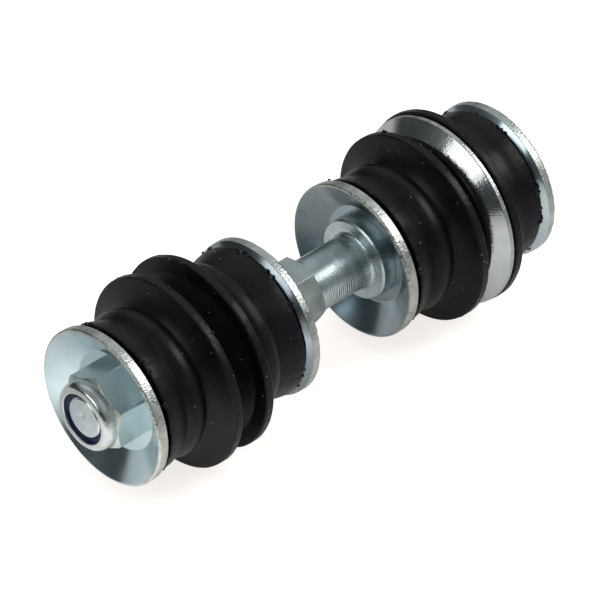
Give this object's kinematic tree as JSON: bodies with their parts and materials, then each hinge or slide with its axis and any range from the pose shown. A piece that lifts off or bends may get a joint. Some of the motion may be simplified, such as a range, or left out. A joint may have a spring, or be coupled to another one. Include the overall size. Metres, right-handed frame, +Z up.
{
  "type": "stabilizer link",
  "caption": "Suspension stabilizer link: a shouldered steel stud with ribbed rubber bushings between dished washers and nylon insert lock nuts, joining a sway bar eye to a control arm.",
  "frame": {"origin": "on the stud's axis, halfway between the crowns of the two lock nuts, which is the centre of the bounding box", "axes": "+X along the stud from the near end to the far end, +Z up as the link lies in the picture"},
  "size_m": [0.1341, 0.0482, 0.0482],
  "materials": {
    "zinc_steel": "bright zinc plate",
    "rubber": "matte moulded rubber",
    "nylon": "dark blue nylon"
  },
  "bodies": {
    "stud": {"link_stud": "zinc_steel", "near_inner_washer": "zinc_steel", "far_inner_washer": "zinc_steel"},
    "near_washer": {"near_outer_washer": "zinc_steel"},
    "near_nut": {"near_lock_nut": "zinc_steel", "near_nylon_ring": "nylon"},
    "near_outer_rubber": {"near_outer_bushing": "rubber"},
    "near_inner_rubber": {"near_inner_bushing": "rubber"},
    "far_inner_rubber": {"far_inner_bushing": "rubber"},
    "far_cup": {"far_cup_washer": "zinc_steel"},
    "far_outer_rubber": {"far_outer_bushing": "rubber"},
    "far_washer": {"far_outer_washer": "zinc_steel"},
    "far_nut": {"far_lock_nut": "zinc_steel", "far_nylon_ring": "nylon"}
  },
  "joints": [
    {"name": "near_nut_turn", "type": "hinge", "parent": "near_washer", "child": "near_nut", "pos_m": [-0.06205, 0, 0], "axis": [-1, 0, 0], "range_deg": [0, 1805]},
    {"name": "near_washer_slide", "type": "slide", "parent": "stud", "child": "near_washer", "axis": [-1, 0, 0], "range_m": [0, 0.00625]},
    {"name": "near_outer_bushing_slide", "type": "slide", "parent": "stud", "child": "near_outer_rubber", "axis": [-1, 0, 0], "range_m": [0, 0.0042]},
    {"name": "near_inner_bushing_slide", "type": "slide", "parent": "stud", "child": "near_inner_rubber", "axis": [-1, 0, 0], "range_m": [0, 0.0021]},
    {"name": "far_nut_turn", "type": "hinge", "parent": "far_washer", "child": "far_nut", "pos_m": [0.06205, 0, 0], "axis": [1, 0, 0], "range_deg": [0, 1805]},
    {"name": "far_washer_slide", "type": "slide", "parent": "stud", "child": "far_washer", "axis": [1, 0, 0], "range_m": [0, 0.00625]},
    {"name": "far_outer_bushing_slide", "type": "slide", "parent": "stud", "child": "far_outer_rubber", "axis": [1, 0, 0], "range_m": [0, 0.0047]},
    {"name": "far_cup_slide", "type": "slide", "parent": "stud", "child": "far_cup", "axis": [1, 0, 0], "range_m": [0, 0.00315]},
    {"name": "far_inner_bushing_slide", "type": "slide", "parent": "stud", "child": "far_inner_rubber", "axis": [1, 0, 0], "range_m": [0, 0.0016]}
  ],
  "couplings": [
    {"joint": "near_nut_turn", "follows": "near_washer_slide", "rad_per_m": 5026.5},
    {"joint": "near_outer_bushing_slide", "follows": "near_washer_slide", "ratio": 0.66667},
    {"joint": "near_inner_bushing_slide", "follows": "near_washer_slide", "ratio": 0.33333},
    {"joint": "far_nut_turn", "follows": "far_washer_slide", "rad_per_m": 5026.5},
    {"joint": "far_outer_bushing_slide", "follows": "far_washer_slide", "ratio": 0.75},
    {"joint": "far_cup_slide", "follows": "far_washer_slide", "ratio": 0.5},
    {"joint": "far_inner_bushing_slide", "follows": "far_washer_slide", "ratio": 0.25}
  ]
}
